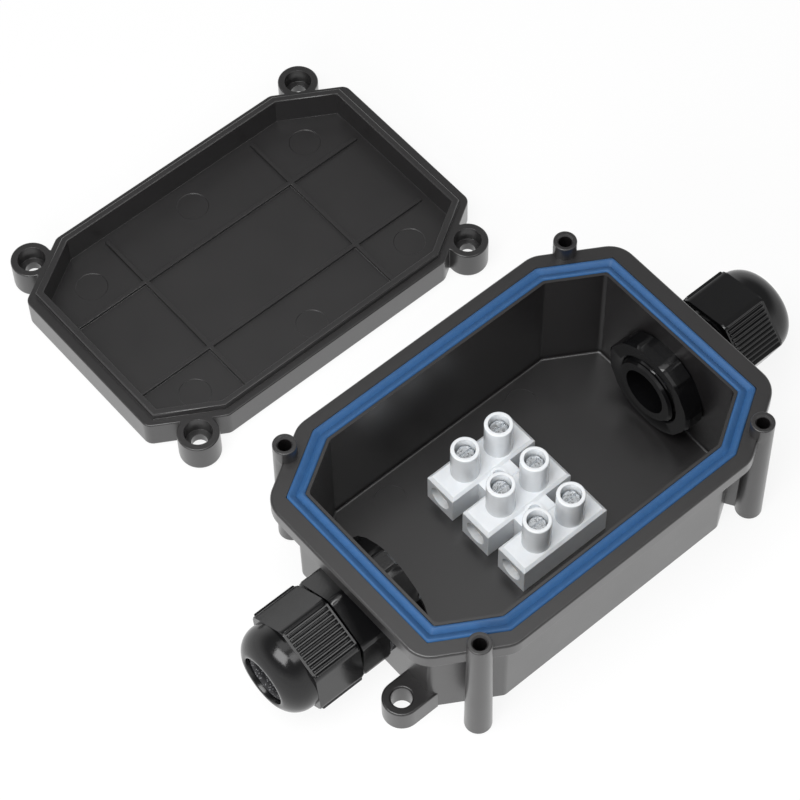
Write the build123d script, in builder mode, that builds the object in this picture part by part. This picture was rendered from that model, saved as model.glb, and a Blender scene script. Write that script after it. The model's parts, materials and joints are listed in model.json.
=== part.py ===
from build123d import *
from math import atan2, cos, degrees, hypot, radians, tan
import os

# Surface junction box with two cable glands, shown open with its lid laid beside it.
# X runs along the glands, Y across the box towards the lid, Z is up.
# The origin is the centre of the housing's underside. All sizes are in millimetres.

# Cuts run this far past a surface, and revolved forms start this far inside what carries them
cut_overrun = 1.0
weld_overlap = 0.1

# Housing cavity: a rectangle with its four corners cut off
cavity_length = 76.6
cavity_width = 49.6
corner_cut_x = 10.6
corner_cut_y = 6.5
cavity_corner_radius = 1.2
floor_thickness = 2.2
floor_fillet = 0.55

# Housing walls and the flange round the mouth
wall_thickness = 2.6
side_draft = 0.2
wall_corner_radius = 1.8
foot_rounding = 0.4
flange_top = 29.8
flange_thickness = 3.6
flange_reach_side = 6.8
flange_reach_end = 7.5
flange_reach_cut = 7.1
flange_corner_radius = 6.0
flange_rounding = 0.5
flange_lip_rounding = 0.3

# Gasket and the groove that it sits in
groove_inset = 0.6
gasket_width = 3.3
groove_depth = 2.3
groove_clearance = 0.05
gasket_rise = 0.3
gasket_groove_width = 1.1
gasket_groove_depth = 0.7
gasket_rounding = 0.45

# Screw posts outside the four cut corners
post_reach = 7.2
post_slide = 0.8
post_foot_height = 0.8
post_top_radius = 2.4
post_foot_radius = 2.75
post_rise = 3.4
post_hole_radius = 1.3
post_hole_depth = 16.0
post_lead_in = 0.35
post_rim_rounding = 0.25
post_web_thickness = 1.3

# Fixing lugs at two opposite corners of the foot
lug_reach = 4.5
lug_offset = 16.5
lug_radius = 3.9
lug_hole_radius = 2.1
lug_thickness = 5.6
lug_rounding = 0.4

# Moulding marks: shallow round discs left by the ejector pins
mark_radius = 3.4
mark_depth = 0.12
floor_mark_x = 17.5
floor_mark_y = 19.5
lid_mark_end_x = 29.0
lid_mark_end_y = 17.5
lid_mark_side_y = 20.0

# Lid, lying upside down on the same surface as the box
lid_x = -2.3
lid_y = 82.8
lid_height = 7.3
lid_plate = 2.0
lid_reach_side = 4.3
lid_reach_end = 5.0
lid_corner_radius = 2.2
lid_edge_rounding = 0.8
lid_rim_rounding = 0.3
tongue_inset = 1.2
tongue_thickness = 1.5
tongue_height = 1.4
tongue_rounding = 0.35
boss_radius = 4.4
boss_neck_width = 7.0
socket_clearance = 0.55
socket_spare_depth = 0.3
lid_screw_radius = 1.7
lid_head_radius = 3.1
lid_head_depth = 1.5
rib_spacing_x = 39.4
rib_spacing_y = 21.6
rib_thickness = 0.9
rib_height = 0.7
rib_end_gap = 1.6

# Cable glands, measured outwards from the end wall along the gland axis
gland_height = 13.8
thread_radius = 7.6
wall_hole_clearance = 0.2
lock_nut_bore_clearance = 0.06
lock_nut_across_flats = 21.6
lock_nut_corner_reach = 11.5
lock_nut_thickness = 4.6
lock_nut_chamfer = 0.5
thread_end_length = 0.9
thread_chamfer = 0.5
washer_radius = 10.2
washer_thickness = 1.2
washer_rounding = 0.3
hex_across_flats = 19.0
hex_length = 6.5
neck_radius = 8.2
neck_length = 4.6
cable_bore_radius = 5.2
claw_length = 5.4
claw_root_radius = 7.75
claw_tip_radius = 6.5
claw_count = 8
claw_slot_width = 1.0
seal_radius = 6.0
seal_seat_clearance = 0.06
seal_seat_depth = 2.0
seal_length = 7.9
seal_nose_radius = 4.95
seal_nose_length = 4.2
seal_shoulder = 1.4
seal_bore_radius = 4.1
seal_ring_depth = 0.4

# Dome nut that squeezes the seal
nut_gap = 0.45
loose_nut_gap = 1.65
nut_hex_length = 10.65
nut_shoulder_length = 1.1
nut_shoulder_radius = 9.45
nut_dome_length = 4.8
nut_running_clearance = 0.08
nut_thread_depth = 6.9
nut_cone_length = 5.5
nut_mouth_clearance = 0.35
nut_mouth_wall = 0.8
nut_edge_chamfer = 0.4
grip_rib_count = 11
grip_rib_height = 0.35
grip_rib_width = 0.55
grip_end_margin = 0.4
grip_front_margin = 0.5

# Three-pole terminal strip standing on the floor of the cavity
strip_x = -0.4
strip_y = 0.95
pole_count = 3
pole_pitch = 10.6
pole_width = 7.6
pole_length = 21.9
pole_height = 7.8
pole_edge_chamfer = 0.6
pole_end_slope = 0.7
web_length = 8.4
web_drop = 0.6
web_collar_radius = 1.95
web_collar_height = 0.4
web_dimple_radius = 1.35
web_dimple_depth = 1.3
turret_spacing = 8.83
turret_radius = 2.95
turret_height = 8.1
turret_wall = 0.8
turret_rounding = 0.3
tube_radius = 2.5
tube_bore_radius = 1.7
tube_inset = 1.6
tube_height = 3.9
tube_fit = 0.05
screw_thread_radius = 1.45
screw_fit = 0.06
screw_head_length = 2.0
screw_head_depth = 1.6
screw_head_rounding = 0.25
screw_tip_chamfer = 0.3
screw_head_clearance = 0.3
screw_slot_width = 0.6
screw_slot_depth = 0.7
screw_tip_clearance = 0.2

os.makedirs("parts", exist_ok=True)

# The corner cut of the cavity: its outward normal, and how far out its face lies
cut_length = hypot(corner_cut_x, corner_cut_y)
normal_x = corner_cut_y / cut_length
normal_y = corner_cut_x / cut_length
cut_reach = normal_x * (cavity_length / 2 - corner_cut_x) + normal_y * cavity_width / 2


def housing_outline(reach_side, reach_end=None, reach_cut=None):
    """Eight corners of the cavity's outline, moved outwards by the reach of sides, ends and cut corners."""
    half_x = cavity_length / 2 + (reach_side if reach_end is None else reach_end)
    half_y = cavity_width / 2 + reach_side
    cut_face = cut_reach + (reach_side if reach_cut is None else reach_cut)
    cut_y = (cut_face - normal_x * half_x) / normal_y
    cut_x = (cut_face - normal_y * half_y) / normal_x
    return [
        (half_x, -cut_y), (half_x, cut_y), (cut_x, half_y), (-cut_x, half_y),
        (-half_x, cut_y), (-half_x, -cut_y), (-cut_x, -half_y), (cut_x, -half_y),
    ]


def outline_face(reach_side, reach_end=None, radius=0.0, reach_cut=None):
    """Fill the eight-sided outline in the open sketch, with rounded corners if asked."""
    face = Polygon(*housing_outline(reach_side, reach_end, reach_cut), align=None)
    if radius > 0:
        fillet(face.vertices(), radius)


def ring_face(inner_reach, width):
    """Eight-sided ring in the open sketch, from inner_reach outwards by width."""
    Polygon(*housing_outline(inner_reach + width), align=None)
    Polygon(*housing_outline(inner_reach), align=None, mode=Mode.SUBTRACT)


# The posts stand on the normal through the middle of each corner cut
cut_middle_x = cavity_length / 2 - corner_cut_x / 2
cut_middle_y = cavity_width / 2 - corner_cut_y / 2
post_x = cut_middle_x + normal_x * post_reach - normal_y * post_slide
post_y = cut_middle_y + normal_y * post_reach + normal_x * post_slide
post_locations = [(sx * post_x, sy * post_y) for sx in (-1, 1) for sy in (-1, 1)]
post_top = flange_top + post_rise
post_height = post_top - post_foot_height
web_start_x = post_x - normal_x * (post_reach - wall_thickness / 2)
web_start_y = post_y - normal_y * (post_reach - wall_thickness / 2)

wall_inside_x = cavity_length / 2
wall_outside_x = wall_inside_x + wall_thickness
flange_underside = flange_top - flange_thickness
lug_x = wall_outside_x + lug_reach
lug_root_x = wall_outside_x - wall_thickness / 2


def corner_bars(start, end, width):
    """Four straight bars in the open sketch, one in each corner, from start to end."""
    length = hypot(end[0] - start[0], end[1] - start[1])
    for sx, sy in [(-1, -1), (-1, 1), (1, -1), (1, 1)]:
        angle = degrees(atan2(sy * (end[1] - start[1]), sx * (end[0] - start[0])))
        with Locations((sx * (start[0] + end[0]) / 2, sy * (start[1] + end[1]) / 2)):
            Rectangle(length, width, rotation=angle)


# Housing: one moulding with its floor, walls, flange, posts, webs and lugs
with BuildPart() as box_body:
    with BuildSketch(Plane.XY):
        outline_face(wall_thickness - side_draft, wall_thickness, wall_corner_radius)
    with BuildSketch(Plane.XY.offset(flange_underside)):
        outline_face(wall_thickness, wall_thickness, wall_corner_radius)
    loft()
    fillet(box_body.faces().sort_by(Axis.Z)[0].edges(), foot_rounding)

    # Flange round the mouth
    with BuildSketch(Plane.XY.offset(flange_underside)):
        outline_face(flange_reach_side, flange_reach_end, flange_corner_radius, flange_reach_cut)
    extrude(amount=flange_thickness)
    fillet(box_body.faces().sort_by(Axis.Z)[-1].edges(), flange_rounding)
    flange_lip = box_body.faces().filter_by(GeomType.PLANE).filter_by(
        lambda face: abs(face.center().Z - flange_underside) < 0.01
    )
    fillet(flange_lip[0].outer_wire().edges(), flange_lip_rounding)

    # Cavity with a rounded floor edge
    with BuildSketch(Plane.XY.offset(floor_thickness)):
        outline_face(0, 0, cavity_corner_radius)
    extrude(amount=flange_top - floor_thickness, mode=Mode.SUBTRACT)
    cavity_floor = box_body.faces().filter_by(GeomType.PLANE).filter_by(
        lambda face: abs(face.center().Z - floor_thickness) < 0.01
    )
    fillet(cavity_floor.edges(), floor_fillet)

    # Groove for the gasket in the top of the flange
    with BuildSketch(Plane.XY.offset(flange_top - groove_depth)):
        ring_face(groove_inset, gasket_width)
    extrude(amount=groove_depth, mode=Mode.SUBTRACT)

    # Posts, tapered from foot to top, with webs back to the wall
    with Locations(*[(x, y, post_foot_height) for x, y in post_locations]):
        Cone(post_foot_radius, post_top_radius, post_height, align=(Align.CENTER, Align.CENTER, Align.MIN))
    post_rims = box_body.edges().filter_by(GeomType.CIRCLE).group_by(Axis.Z)[-1]
    fillet(post_rims, post_rim_rounding)
    with BuildSketch(Plane.XY.offset(post_foot_height)):
        corner_bars((web_start_x, web_start_y), (post_x, post_y), post_web_thickness)
    extrude(amount=flange_underside + (flange_thickness - groove_depth) / 2 - post_foot_height)
    with Locations(*[(x, y, post_top) for x, y in post_locations]):
        CounterSinkHole(post_hole_radius, post_hole_radius + post_lead_in, post_hole_depth)

    # Fixing lugs at two opposite corners of the foot
    for side in (-1, 1):
        lug_middle_x = side * (lug_root_x + lug_x) / 2
        with BuildSketch(Plane.XY):
            with Locations((lug_middle_x, side * lug_offset)):
                Rectangle(lug_x - lug_root_x, 2 * lug_radius)
            with Locations((side * lug_x, side * lug_offset)):
                Circle(lug_radius)
                Circle(lug_hole_radius, mode=Mode.SUBTRACT)
        extrude(amount=lug_thickness)
    lug_rims = box_body.edges().filter_by(
        lambda edge: abs(edge.center().Z - lug_thickness) < 0.01 and abs(edge.center().X) > wall_outside_x
    )
    fillet(lug_rims, lug_rounding)

    # Round holes for the glands in both end walls
    with BuildSketch(Plane.YZ.offset(-wall_outside_x - wall_thickness)):
        with Locations((0, gland_height)):
            Circle(thread_radius + wall_hole_clearance)
    extrude(amount=2 * (wall_outside_x + wall_thickness), mode=Mode.SUBTRACT)

    # Ejector marks in the floor
    with BuildSketch(Plane.XY.offset(floor_thickness - mark_depth)):
        with GridLocations(2 * floor_mark_x, 2 * floor_mark_y, 2, 2):
            Circle(mark_radius)
    extrude(amount=mark_depth, mode=Mode.SUBTRACT)

box_body.part.label = "box_body"
export_step(box_body.part, "parts/box_body.step")

# Gasket: a soft ring with a groove along its top for the lid's tongue
gasket_inner = groove_inset + groove_clearance
gasket_ring_width = gasket_width - 2 * groove_clearance
gasket_height = groove_depth + gasket_rise
gasket_base = flange_top - groove_depth
with BuildPart() as gasket:
    with BuildSketch(Plane.XY.offset(gasket_base)):
        ring_face(gasket_inner, gasket_ring_width)
    extrude(amount=gasket_height)
    fillet(gasket.faces().sort_by(Axis.Z)[-1].edges(), gasket_rounding)
    with BuildSketch(Plane.XY.offset(gasket_base + gasket_height - gasket_groove_depth)):
        ring_face(gasket_inner + (gasket_ring_width - gasket_groove_width) / 2, gasket_groove_width)
    extrude(amount=gasket_groove_depth, mode=Mode.SUBTRACT)

gasket.part.label = "gasket"
export_step(gasket.part, "parts/gasket.step")

# Lid: a shallow tray, upside down, with a tongue round its rim and a boss at each cut corner
lid_plane = Plane((lid_x, lid_y, 0))
socket_radius = post_top_radius + socket_clearance
socket_depth = post_rise + socket_spare_depth
neck_start_x = post_x - normal_x * (post_reach - tongue_inset - tongue_thickness)
neck_start_y = post_y - normal_y * (post_reach - tongue_inset - tongue_thickness)
rib_half_x = wall_inside_x + tongue_inset - rib_end_gap
rib_half_y = cavity_width / 2 + tongue_inset - rib_end_gap
with BuildPart() as lid:
    with BuildSketch(lid_plane):
        outline_face(lid_reach_side, lid_reach_end, lid_corner_radius)
    extrude(amount=lid_height)
    with BuildSketch(lid_plane):
        with Locations(*post_locations):
            Circle(boss_radius)
    extrude(amount=lid_height)
    with BuildSketch(lid_plane):
        corner_bars((neck_start_x, neck_start_y), (post_x, post_y), boss_neck_width)
    extrude(amount=lid_height)
    fillet(lid.faces().sort_by(Axis.Z)[0].edges(), lid_edge_rounding)
    fillet(lid.faces().sort_by(Axis.Z)[-1].edges(), lid_rim_rounding)

    # Tongue that presses into the gasket
    with BuildSketch(lid_plane.offset(lid_height)):
        ring_face(tongue_inset, tongue_thickness)
    extrude(amount=tongue_height)
    fillet(lid.faces().sort_by(Axis.Z)[-1].edges(), tongue_rounding)

    # Hollow side and the grid of low ribs that stiffens it
    with BuildSketch(lid_plane.offset(lid_plate)):
        outline_face(tongue_inset)
    extrude(amount=lid_height + tongue_height - lid_plate, mode=Mode.SUBTRACT)
    with BuildSketch(lid_plane.offset(lid_plate)):
        with GridLocations(0, rib_spacing_y, 1, 2):
            Rectangle(2 * rib_half_x, rib_thickness)
        with GridLocations(rib_spacing_x, 0, 2, 1):
            Rectangle(rib_thickness, 2 * rib_half_y)
    extrude(amount=rib_height)

    # Socket for the post, screw hole and recess for the screw head in each boss
    with BuildSketch(lid_plane.offset(lid_height - socket_depth)):
        with Locations(*post_locations):
            Circle(socket_radius)
    extrude(amount=socket_depth, mode=Mode.SUBTRACT)
    with BuildSketch(lid_plane):
        with Locations(*post_locations):
            Circle(lid_screw_radius)
    extrude(amount=lid_height, mode=Mode.SUBTRACT)
    with BuildSketch(lid_plane):
        with Locations(*post_locations):
            Circle(lid_head_radius)
    extrude(amount=lid_head_depth, mode=Mode.SUBTRACT)

    # Ejector marks on the hollow side
    with BuildSketch(lid_plane.offset(lid_plate - mark_depth)):
        with GridLocations(2 * lid_mark_end_x, 2 * lid_mark_end_y, 2, 2):
            Circle(mark_radius)
        with GridLocations(0, 2 * lid_mark_side_y, 1, 2):
            Circle(mark_radius)
    extrude(amount=mark_depth, mode=Mode.SUBTRACT)

lid.part.label = "lid"
export_step(lid.part, "parts/lid.step")

# Stations along each gland, outwards from the end wall's outer face
hex_start = washer_thickness
hex_end = hex_start + hex_length
neck_end = hex_end + neck_length
claw_end = neck_end + claw_length
nut_bore_radius = neck_radius + nut_running_clearance
nut_mouth_radius = seal_nose_radius + nut_mouth_clearance
nut_mouth_outer = nut_mouth_radius + nut_mouth_wall
seal_start = neck_end - seal_seat_depth
seal_shoulder_start = seal_start + seal_length
seal_nose_start = seal_shoulder_start + seal_shoulder
seal_end = seal_nose_start + seal_nose_length
thread_end = -(wall_thickness + lock_nut_thickness + thread_end_length)
seat_radius = seal_radius + seal_seat_clearance
hex_corner_radius = hex_across_flats / 2 / cos(radians(30))
face_width = hex_across_flats * tan(radians(30))
rib_pitch = face_width / grip_rib_count


def gland_planes(side):
    """Axis, cross plane and lengthwise profile plane of the gland on one end wall."""
    origin = (side * wall_outside_x, 0, gland_height)
    axis = Axis(origin, (side, 0, 0))
    across = Plane(origin, x_dir=(0, side, 0), z_dir=(side, 0, 0))
    along = Plane(origin, x_dir=(side, 0, 0), z_dir=(0, -side, 0))
    return axis, across, along


# Side, name, turn of the hexagon, the lock nut, the nut and its first ribbed face, gap behind the nut
gland_settings = [
    (-1, "left", 30, 30, 35, 65, nut_gap),
    (1, "right", 0, 0, 50, 20, loose_nut_gap),
]
for side, name, hex_turn, lock_turn, nut_turn, rib_turn, gap in gland_settings:
    axis, across, along = gland_planes(side)

    # Gland body: thread through the wall, hexagon, neck thread and a ring of claws
    with BuildPart() as gland_body:
        with BuildSketch(across.offset(thread_end)):
            Circle(thread_radius)
        extrude(amount=hex_start - thread_end)
        chamfer(gland_body.faces().sort_by(axis)[0].edges(), thread_chamfer)
        with BuildSketch(across.offset(hex_start)):
            RegularPolygon(hex_corner_radius, 6, rotation=hex_turn)
        extrude(amount=hex_length)
        with BuildSketch(along):
            with BuildLine():
                Polyline(
                    (hex_end - weld_overlap, 0), (hex_end - weld_overlap, neck_radius),
                    (neck_end, neck_radius), (neck_end, claw_root_radius),
                    (claw_end, claw_tip_radius), (claw_end, 0), close=True,
                )
            make_face()
        revolve(axis=axis)
        with BuildSketch(along):
            with BuildLine():
                Polyline(
                    (thread_end, 0), (thread_end, cable_bore_radius), (seal_start, cable_bore_radius),
                    (seal_start, seat_radius), (claw_end, seat_radius), (claw_end, 0), close=True,
                )
            make_face()
        revolve(axis=axis, mode=Mode.SUBTRACT)
        with BuildSketch(across.offset(neck_end)):
            with PolarLocations((seat_radius + claw_root_radius) / 2, claw_count):
                Rectangle(2 * (claw_root_radius - seat_radius) + cut_overrun, claw_slot_width)
        extrude(amount=claw_length, mode=Mode.SUBTRACT)
    gland_body.part.label = f"gland_body_{name}"
    export_step(gland_body.part, f"parts/gland_body_{name}.step")

    # Flat washer between the hexagon and the wall
    with BuildPart() as gland_washer:
        with BuildSketch(across):
            Circle(washer_radius)
            Circle(thread_radius + lock_nut_bore_clearance, mode=Mode.SUBTRACT)
        extrude(amount=washer_thickness)
        fillet(gland_washer.faces().sort_by(axis)[-1].edges().sort_by(SortBy.RADIUS)[-1], washer_rounding)
    gland_washer.part.label = f"gland_washer_{name}"
    export_step(gland_washer.part, f"parts/gland_washer_{name}.step")

    # Lock nut inside the wall: a hexagon with its corners cut flat and both its faces chamfered
    lock_face = -(wall_thickness + lock_nut_thickness)
    lock_corner = lock_nut_corner_reach / cos(radians(15))
    with BuildPart() as lock_nut:
        with BuildSketch(across.offset(lock_face)):
            RegularPolygon(lock_nut_across_flats / 2, 6, major_radius=False, rotation=lock_turn)
            RegularPolygon(
                lock_nut_corner_reach, 6, major_radius=False, rotation=lock_turn + 30, mode=Mode.INTERSECT
            )
        extrude(amount=lock_nut_thickness)
        with BuildSketch(along):
            with BuildLine():
                Polyline(
                    (lock_face, 0), (lock_face, lock_nut_corner_reach - lock_nut_chamfer),
                    (lock_face + lock_nut_chamfer, lock_corner),
                    (-wall_thickness - lock_nut_chamfer, lock_corner),
                    (-wall_thickness, lock_nut_corner_reach - lock_nut_chamfer),
                    (-wall_thickness, 0), close=True,
                )
            make_face()
        revolve(axis=axis, mode=Mode.INTERSECT)
        with BuildSketch(across.offset(lock_face)):
            Circle(thread_radius + lock_nut_bore_clearance)
        extrude(amount=lock_nut_thickness, mode=Mode.SUBTRACT)
    lock_nut.part.label = f"lock_nut_{name}"
    export_step(lock_nut.part, f"parts/lock_nut_{name}.step")

    # Rubber seal: a sleeve in the claws with a nose that shows in the nut's mouth
    with BuildPart() as gland_seal:
        with BuildSketch(along):
            with BuildLine():
                Polyline(
                    (seal_start, seal_bore_radius), (seal_start, seal_radius),
                    (seal_shoulder_start, seal_radius), (seal_nose_start, seal_nose_radius),
                    (seal_end, seal_nose_radius), (seal_end, seal_bore_radius + seal_ring_depth),
                    (seal_end - seal_ring_depth, seal_bore_radius), close=True,
                )
            make_face()
        revolve(axis=axis)
    gland_seal.part.label = f"gland_seal_{name}"
    export_step(gland_seal.part, f"parts/gland_seal_{name}.step")

    # Dome nut: hexagon with three ribbed faces, a round shoulder and a dome down to the cable mouth
    nut_start = hex_end + gap
    nut_front = nut_start + nut_hex_length
    dome_start = nut_front + nut_shoulder_length
    nut_end = dome_start + nut_dome_length
    nut_cone_start = nut_start + nut_thread_depth
    with BuildPart() as dome_nut:
        with BuildSketch(across.offset(nut_start)):
            RegularPolygon(hex_corner_radius, 6, rotation=nut_turn)
        extrude(amount=nut_hex_length)
        with BuildSketch(along):
            with BuildLine():
                Polyline(
                    (nut_start, 0), (nut_start, hex_corner_radius - nut_edge_chamfer),
                    (nut_start + nut_edge_chamfer, hex_corner_radius),
                    (nut_front - nut_edge_chamfer, hex_corner_radius),
                    (nut_front, hex_corner_radius - nut_edge_chamfer), (nut_front, 0), close=True,
                )
            make_face()
        revolve(axis=axis, mode=Mode.INTERSECT)
        with BuildSketch(across.offset(nut_start + grip_end_margin)):
            with PolarLocations(hex_across_flats / 2, 3, start_angle=rib_turn):
                with GridLocations(0, rib_pitch, 1, grip_rib_count):
                    Rectangle(2 * grip_rib_height, grip_rib_width)
        extrude(amount=nut_hex_length - grip_end_margin - grip_front_margin)
        with BuildSketch(along):
            with BuildLine():
                Line((nut_front - weld_overlap, nut_shoulder_radius), (dome_start, nut_shoulder_radius))
                TangentArc((dome_start, nut_shoulder_radius), (nut_end, nut_mouth_outer), tangent=(1, 0))
                Polyline(
                    (nut_end, nut_mouth_outer), (nut_end, 0), (nut_front - weld_overlap, 0),
                    (nut_front - weld_overlap, nut_shoulder_radius),
                )
            make_face()
        revolve(axis=axis)
        with BuildSketch(along):
            with BuildLine():
                Polyline(
                    (nut_start, 0), (nut_start, nut_bore_radius), (nut_cone_start, nut_bore_radius),
                    (nut_cone_start + nut_cone_length, nut_mouth_radius), (nut_end, nut_mouth_radius),
                    (nut_end, 0), close=True,
                )
            make_face()
        revolve(axis=axis, mode=Mode.SUBTRACT)
    dome_nut.part.label = f"dome_nut_{name}"
    export_step(dome_nut.part, f"parts/dome_nut_{name}.step")

# Terminal strip housing: poles side by side, joined by webs, with two screw turrets each
pole_steps = [(index - (pole_count - 1) / 2) * pole_pitch for index in range(pole_count)]
pole_positions = [strip_y + step for step in pole_steps]
strip_top = floor_thickness + pole_height
turret_top = strip_top + turret_height
tube_z = floor_thickness + tube_height
turret_locations = [(strip_x + sx * turret_spacing / 2, y) for y in pole_positions for sx in (-1, 1)]
web_locations = [(strip_x, (y + next_y) / 2) for y, next_y in zip(pole_positions, pole_positions[1:])]
web_top = strip_top - web_drop
turret_bore_radius = turret_radius - turret_wall
screw_head_radius = turret_bore_radius - screw_head_clearance
tube_length = pole_length - 2 * tube_inset
with BuildPart() as terminal_housing:
    # Each pole is a bar whose ends slope inwards towards the top
    with BuildSketch(Plane((strip_x, strip_y, 0), x_dir=(1, 0, 0), z_dir=(0, -1, 0))):
        with BuildLine():
            Polyline(
                (-pole_length / 2, floor_thickness), (pole_length / 2, floor_thickness),
                (pole_length / 2, strip_top - pole_end_slope),
                (pole_length / 2 - pole_end_slope, strip_top),
                (-pole_length / 2 + pole_end_slope, strip_top),
                (-pole_length / 2, strip_top - pole_end_slope), close=True,
            )
        make_face()
    extrude(amount=pole_width / 2, both=True)
    chamfer(terminal_housing.edges().filter_by(Axis.X).group_by(Axis.Z)[-1], pole_edge_chamfer)
    pole = terminal_housing.part
    with Locations(*[(0, step, 0) for step in pole_steps if abs(step) > 0.01]):
        add(pole)
    with BuildSketch(Plane.XY.offset(floor_thickness)):
        with Locations((strip_x, strip_y)):
            Rectangle(web_length, (pole_count - 1) * pole_pitch)
    extrude(amount=web_top - floor_thickness)

    # Low collar round a dimple in the middle of each web
    with BuildSketch(Plane.XY.offset(web_top - web_dimple_depth)):
        with Locations(*web_locations):
            Circle(web_collar_radius)
    extrude(amount=web_dimple_depth + web_collar_height)
    with BuildSketch(Plane.XY.offset(web_top - web_dimple_depth)):
        with Locations(*web_locations):
            Circle(web_dimple_radius)
    extrude(amount=web_dimple_depth + web_collar_height, mode=Mode.SUBTRACT)

    # Turrets, each open at the top for its screw
    with BuildSketch(Plane.XY.offset(strip_top - pole_edge_chamfer)):
        with Locations(*turret_locations):
            Circle(turret_radius)
    extrude(amount=turret_height + pole_edge_chamfer)
    top_rims = terminal_housing.faces().sort_by(Axis.Z)[-len(turret_locations):]
    fillet(top_rims.edges(), turret_rounding)

    # Channel for each tube and a well for each screw
    with BuildSketch(Plane.YZ.offset(strip_x - pole_length / 2)):
        with Locations(*[(y, tube_z) for y in pole_positions]):
            Circle(tube_radius + tube_fit)
    extrude(amount=pole_length, mode=Mode.SUBTRACT)
    with BuildSketch(Plane.XY.offset(tube_z)):
        with Locations(*turret_locations):
            Circle(turret_bore_radius)
    extrude(amount=turret_top - tube_z, mode=Mode.SUBTRACT)

terminal_housing.part.label = "terminal_housing"
export_step(terminal_housing.part, "parts/terminal_housing.step")

# One plated tube and two slotted screws for each pole
head_top = turret_top - screw_head_depth
screw_tip = tube_z + tube_bore_radius + screw_tip_clearance
screw_positions_x = [strip_x - turret_spacing / 2, strip_x + turret_spacing / 2]
for index, y in enumerate(pole_positions):
    with BuildPart() as terminal_tube:
        with BuildSketch(Plane.YZ.offset(strip_x - tube_length / 2)):
            with Locations((y, tube_z)):
                Circle(tube_radius)
                Circle(tube_bore_radius, mode=Mode.SUBTRACT)
        extrude(amount=tube_length)
        with BuildSketch(Plane.XY.offset(tube_z)):
            with Locations(*[(x, y) for x in screw_positions_x]):
                Circle(screw_thread_radius + screw_fit)
        extrude(amount=tube_radius, mode=Mode.SUBTRACT)
    terminal_tube.part.label = f"terminal_tube_{index + 1}"
    export_step(terminal_tube.part, f"parts/terminal_tube_{index + 1}.step")

    for x, end in zip(screw_positions_x, ("left", "right")):
        with BuildPart() as terminal_screw:
            with BuildSketch(Plane.XY.offset(screw_tip)):
                with Locations((x, y)):
                    Circle(screw_thread_radius)
            extrude(amount=head_top - screw_head_length - screw_tip)
            chamfer(terminal_screw.faces().sort_by(Axis.Z)[0].edges(), screw_tip_chamfer)
            with BuildSketch(Plane.XY.offset(head_top - screw_head_length)):
                with Locations((x, y)):
                    Circle(screw_head_radius)
            extrude(amount=screw_head_length)
            fillet(terminal_screw.faces().sort_by(Axis.Z)[-1].edges(), screw_head_rounding)
            with BuildSketch(Plane.XY.offset(head_top - screw_slot_depth)):
                with Locations((x, y)):
                    Rectangle(2 * screw_head_radius + cut_overrun, screw_slot_width)
            extrude(amount=screw_slot_depth, mode=Mode.SUBTRACT)
        terminal_screw.part.label = f"terminal_screw_{index + 1}_{end}"
        export_step(terminal_screw.part, f"parts/terminal_screw_{index + 1}_{end}.step")
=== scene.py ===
import json
import math

import bmesh
import bpy
import numpy as np
from bpy.props import FloatProperty, FloatVectorProperty, IntProperty, PointerProperty
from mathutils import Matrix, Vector


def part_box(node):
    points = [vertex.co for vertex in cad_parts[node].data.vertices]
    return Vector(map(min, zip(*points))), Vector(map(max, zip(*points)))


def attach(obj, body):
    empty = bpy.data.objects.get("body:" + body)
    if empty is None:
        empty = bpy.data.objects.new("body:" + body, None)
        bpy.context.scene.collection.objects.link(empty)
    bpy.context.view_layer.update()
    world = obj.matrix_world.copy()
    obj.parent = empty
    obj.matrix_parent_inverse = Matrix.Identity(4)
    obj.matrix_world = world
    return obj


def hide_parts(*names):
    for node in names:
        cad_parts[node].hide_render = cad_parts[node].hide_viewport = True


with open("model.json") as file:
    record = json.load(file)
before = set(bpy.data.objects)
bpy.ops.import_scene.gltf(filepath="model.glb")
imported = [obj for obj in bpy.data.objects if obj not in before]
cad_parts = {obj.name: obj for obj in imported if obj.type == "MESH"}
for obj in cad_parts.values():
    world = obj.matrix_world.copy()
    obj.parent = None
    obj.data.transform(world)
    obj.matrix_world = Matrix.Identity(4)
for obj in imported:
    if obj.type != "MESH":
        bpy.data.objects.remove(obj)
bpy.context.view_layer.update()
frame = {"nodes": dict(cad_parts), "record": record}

# Looks of an open surface junction box: black mouldings, a blue gasket, two cable glands
# and a milky terminal strip. All lengths are in metres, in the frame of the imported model.

bl_info = {
    "name": "Surface junction box",
    "version": (1, 0, 0),
    "blender": (4, 5, 0),
    "location": "View3D > Sidebar > Junction box",
    "description": "Dresses the packed model of an open surface junction box",
    "category": "Object",
}

MM = 0.001

# Outline of the housing's cavity: a rectangle with its four corners cut off
CAVITY_LENGTH = 76.6 * MM
CAVITY_WIDTH = 49.6 * MM
CORNER_CUT_X = 10.6 * MM
CORNER_CUT_Y = 6.5 * MM

# Gasket ring: its reach out from the cavity and the shape of its section
GASKET_INNER = 0.65 * MM
GASKET_WIDTH = 3.2 * MM
GASKET_CORNER = 0.5 * MM
GASKET_LOBE_STEPS = 7
GASKET_DIP_STEPS = 15
GASKET_DIP_POWER = 1.4  # 1 is a plain V, more makes its upper edges rounder

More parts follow.
